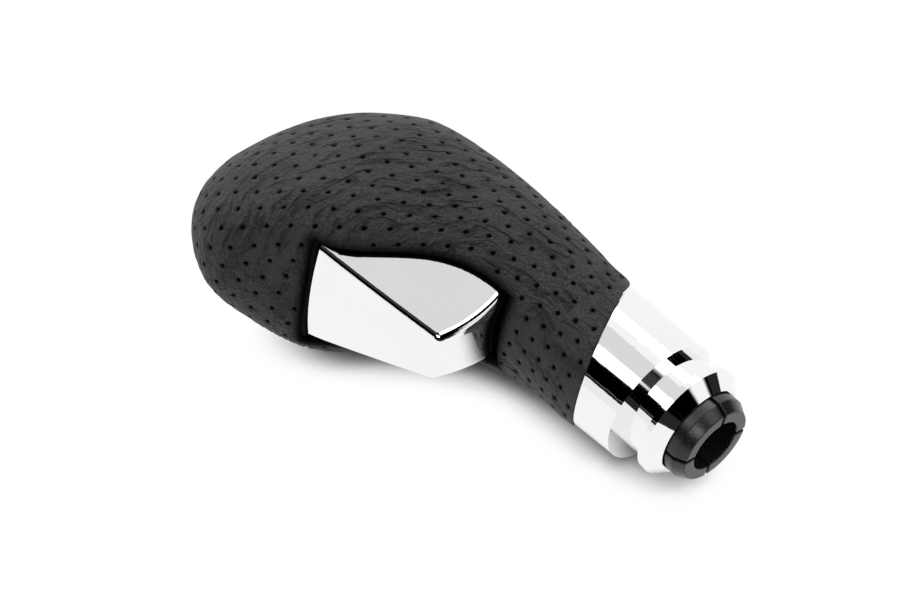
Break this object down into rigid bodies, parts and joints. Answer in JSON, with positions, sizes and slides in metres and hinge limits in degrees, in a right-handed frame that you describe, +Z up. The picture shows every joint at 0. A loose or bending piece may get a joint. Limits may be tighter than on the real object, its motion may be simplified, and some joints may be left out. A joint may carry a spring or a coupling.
{
  "type": "gear shift knob",
  "caption": "Leather-covered automatic gear shift knob with a hinged chromed release button, chromed collar and neck ring, and a split collet socket for the lever.",
  "frame": {"origin": "mouth of the lever socket, on the lever axis, at the end face of the collet", "axes": "+Z up the lever axis to the crown of the grip, +X towards the release button, +Y across the grip"},
  "size_m": [0.0662, 0.044, 0.1182],
  "materials": {
    "chrome": "mirror-bright chrome plate on moulded plastic",
    "leather": "black perforated leather with a fine grain",
    "black_plastic": "satin black glass-filled nylon",
    "steel": "bright drawn steel",
    "rubber": "soft black rubber"
  },
  "bodies": {
    "grip": {"leather_cover": "leather", "collar": "chrome", "neck_ring": "chrome", "collet_sleeve": "black_plastic", "pocket_frame": "black_plastic", "grip_core_left": "black_plastic", "grip_core_right": "black_plastic", "core_screws": "steel", "pivot_pin": "steel", "plunger_spring": "steel", "stop_pads": "rubber", "lever_clip": "steel"},
    "button": {"release_button": "chrome", "button_carrier": "black_plastic"},
    "plunger": {"release_plunger": "black_plastic"}
  },
  "joints": [
    {"name": "button_press", "type": "hinge", "parent": "grip", "child": "button", "pos_m": [0.031, 0, 0.0765], "axis": [0, 1, 0], "range_deg": [0, 10], "stiffness_Nm_per_rad": 0.6, "springref_deg": -11.46},
    {"name": "plunger_slide", "type": "slide", "parent": "grip", "child": "plunger", "axis": [0, 0, -1], "range_m": [0, 0.00284], "deforming": ["plunger_spring"]}
  ],
  "couplings": [
    {"joint": "plunger_slide", "follows": "button_press", "m_per_rad": 0.01614}
  ]
}
